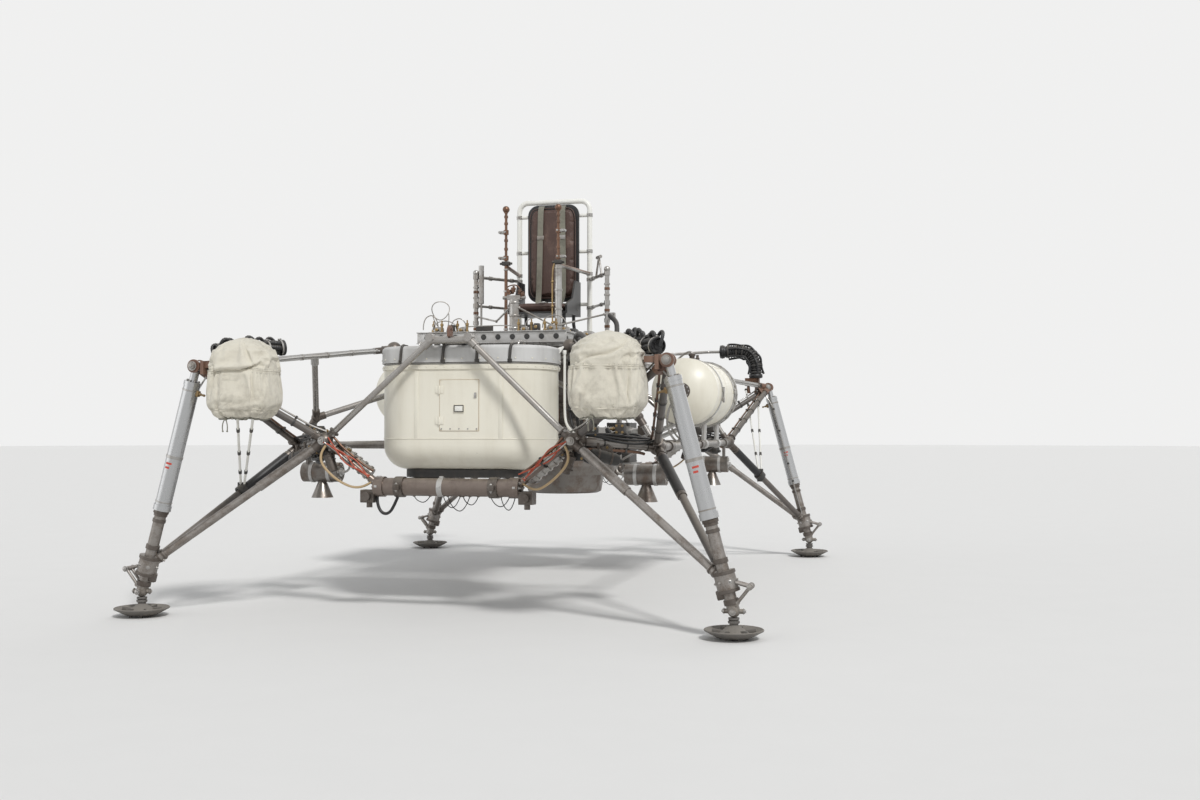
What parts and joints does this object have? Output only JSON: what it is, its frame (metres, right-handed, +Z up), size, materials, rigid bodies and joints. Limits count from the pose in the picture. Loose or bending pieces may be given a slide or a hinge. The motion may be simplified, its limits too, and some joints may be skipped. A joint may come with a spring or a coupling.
{
  "type": "lunar landing research vehicle",
  "caption": "Four-legged open-frame test vehicle with a raised pilot seat, covered front tub, side tanks, hooded thrusters and a gimballed vertical jet engine.",
  "frame": {"origin": "on the ground at the middle of the footprint", "axes": "+Z up, the front faces -Y, the left side is +X"},
  "size_m": [3.8998, 5.0649, 2.912],
  "materials": {
    "frame_tube": "dull bare tube",
    "fitting": "dull dark fittings",
    "rail": "brushed",
    "dark_tube": "satin dark",
    "clevis": "reddish brown, satin",
    "keel": "worn brown-grey",
    "cream_paint": "cream gloss, dusty",
    "dark_metal": "matt dark",
    "engine_metal": "heat-stained",
    "steel": "brushed",
    "white_paint": "white gloss",
    "black_paint": "black satin",
    "brown_leather": "worn",
    "bronze": "dull bronze",
    "black_hose": "matt",
    "canvas": "off-white canvas",
    "polished": "polished"
  },
  "bodies": {
    "vehicle": {"a_frames": "dark_tube", "back_pad": "brown_leather", "bearing_blocks": "dark_metal", "canvas_cover_left": "canvas", "canvas_cover_right": "canvas", "control_posts": "bronze", "corner_ducts": "black_hose", "corner_rails": "rail", "cradle": "frame_tube", "deck_plate": "rail", "deck_ribs": "rail", "duct_pipes": "steel", "equipment_boxes": "dark_metal", "foot_pads": "dark_metal", "footrests": "dark_metal", "frame_fittings": "fitting", "front_leg_braces": "dark_tube", "front_tub": "cream_paint", "hoist_lugs": "clevis", "hose_bundles": "black_hose", "inner_struts": "frame_tube", "keel_tubes": "keel", "leg_top_brackets": "clevis", "lid_brackets": "dark_metal", "lift_rockets": "dark_metal", "lower_tubes": "frame_tube", "outriggers": "dark_tube", "pedestal": "steel", "piston_struts": "steel", "rear_platform": "rail", "ribbed_canisters": "fitting", "seat_bucket": "black_paint", "seat_cushion": "brown_leather", "seat_frame": "white_paint", "seat_hose": "black_hose", "seat_rungs": "white_paint", "shock_cylinders": "polished", "side_leg_braces": "dark_tube", "side_posts": "steel", "side_tank_left": "cream_paint", "side_tank_right": "cream_paint", "tank_bands": "rail", "tank_saddles": "rail", "thruster_arms": "clevis", "thruster_pods": "bronze", "tub_hatch": "cream_paint", "tub_lid": "cream_paint", "tub_plinth": "dark_metal", "upper_tubes": "frame_tube", "valve_blocks": "fitting"},
    "gimbal_ring": {"gimbal_ring": "rail"},
    "engine": {"engine": "engine_metal", "engine_inlet": "engine_metal"},
    "engine_rotor": {"engine_rotor": "steel"}
  },
  "joints": [
    {"name": "gimbal_pitch", "type": "hinge", "parent": "vehicle", "child": "gimbal_ring", "pos_m": [0, 0.7, 1.11], "axis": [1, 0, 0], "range_deg": [-20, 20]},
    {"name": "gimbal_roll", "type": "hinge", "parent": "gimbal_ring", "child": "engine", "pos_m": [0, 0.7, 1.11], "axis": [0, 1, 0], "range_deg": [-20, 20]},
    {"name": "rotor_spin", "type": "hinge", "parent": "engine", "child": "engine_rotor", "pos_m": [0, 0.7, 1.58], "axis": [0, 0, 1], "continuous": true}
  ]
}
